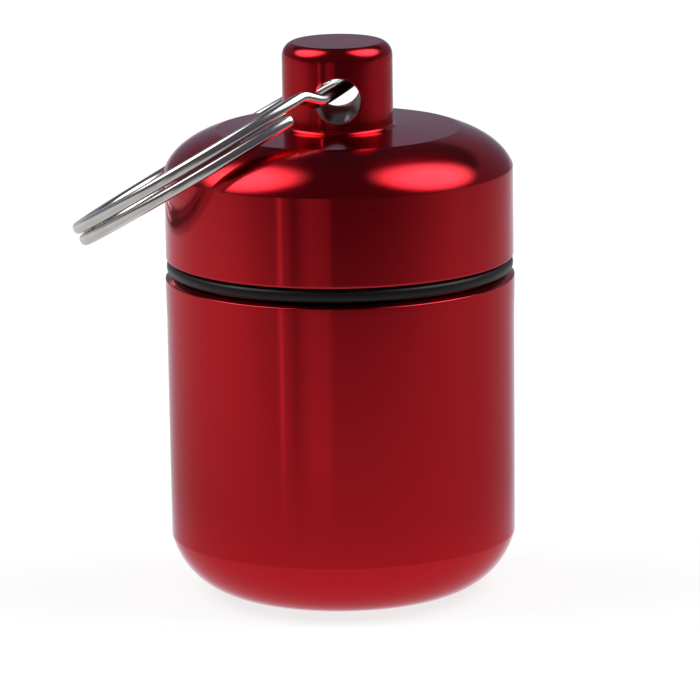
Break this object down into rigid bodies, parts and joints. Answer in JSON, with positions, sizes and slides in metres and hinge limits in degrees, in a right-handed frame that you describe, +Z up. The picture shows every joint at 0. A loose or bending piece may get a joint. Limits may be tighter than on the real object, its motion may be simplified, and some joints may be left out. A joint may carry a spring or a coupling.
{
  "type": "screw-top keyring canister",
  "caption": "Small turned metal canister with a domed screw cap, a rubber sealing ring and a split ring through the drilled knob, for pills or other small things.",
  "frame": {"origin": "middle of the flat base that the canister stands on", "axes": "+Z up along the turned axis, +Y away from the viewer along the cross bore of the knob, +X to the right, the split ring lying over the left side"},
  "size_m": [0.0337, 0.0275, 0.0424],
  "materials": {
    "red_anodised_aluminium": "turned, polished and dyed red by anodising",
    "black_rubber": "smooth moulded cord",
    "nickel_plated_steel": "bright nickel plate on spring steel"
  },
  "bodies": {
    "canister": {"canister": "red_anodised_aluminium"},
    "seal": {"o_ring": "black_rubber"},
    "cap": {"cap": "red_anodised_aluminium"},
    "ring": {"split_ring": "nickel_plated_steel"}
  },
  "joints": [
    {"name": "cap_turn", "type": "hinge", "parent": "canister", "child": "seal", "pos_m": [0, 0, 0.0247], "axis": [0, 0, 1], "range_deg": [0, 1440]},
    {"name": "cap_rise", "type": "slide", "parent": "seal", "child": "cap", "axis": [0, 0, 1], "range_m": [0, 0.006]},
    {"name": "ring_swing", "type": "hinge", "parent": "cap", "child": "ring", "pos_m": [0, 0, 0.03846], "axis": [0, 1, 0], "range_deg": [0, 200]}
  ],
  "couplings": [
    {"joint": "cap_rise", "follows": "cap_turn", "m_per_rad": 0.00023873}
  ]
}
